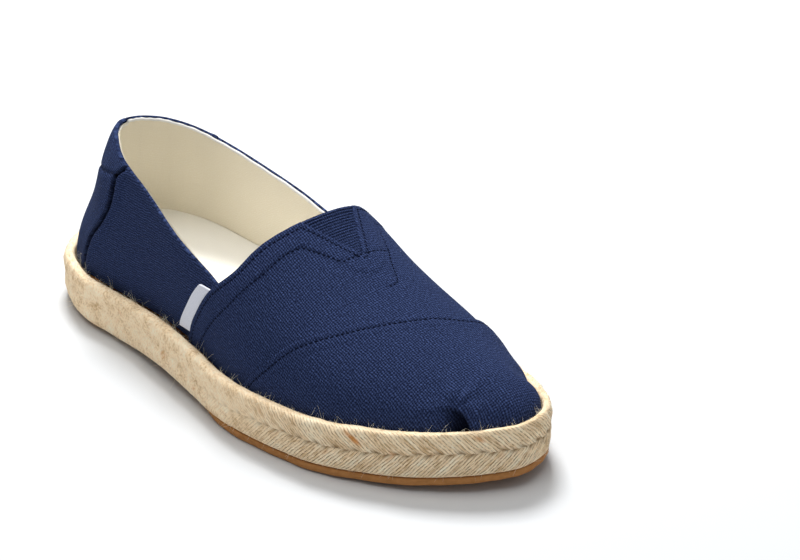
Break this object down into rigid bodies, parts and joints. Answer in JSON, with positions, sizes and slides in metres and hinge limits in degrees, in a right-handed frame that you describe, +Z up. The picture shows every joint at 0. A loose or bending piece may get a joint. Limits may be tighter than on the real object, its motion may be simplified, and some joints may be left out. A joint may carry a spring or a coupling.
{
  "type": "espadrille",
  "caption": "Flat slip-on espadrille, right shoe: canvas upper with toe panel and elastic V gore, braided jute sole, thin rubber outsole, open collar.",
  "frame": {"origin": "on the ground under the centre of the shoe's bounding box", "axes": "+X to the toe, +Y to the inner side of the foot, +Z up"},
  "size_m": [0.2482, 0.0944, 0.0725],
  "materials": {
    "jute": "coarse braided jute",
    "outsole": "thin matt caramel rubber",
    "canvas": "navy basket weave canvas",
    "elastic": "ribbed navy elastic",
    "lining": "plain cream cloth",
    "tag": "bare woven tape"
  },
  "bodies": {
    "root": {"outsole": "outsole", "rope_midsole": "jute", "insole": "lining", "upper": "canvas", "toe_panel": "canvas", "vamp_panel": "canvas", "heel_panel": "canvas", "gore": "elastic", "side_tag": "tag"}
  },
  "joints": []
}
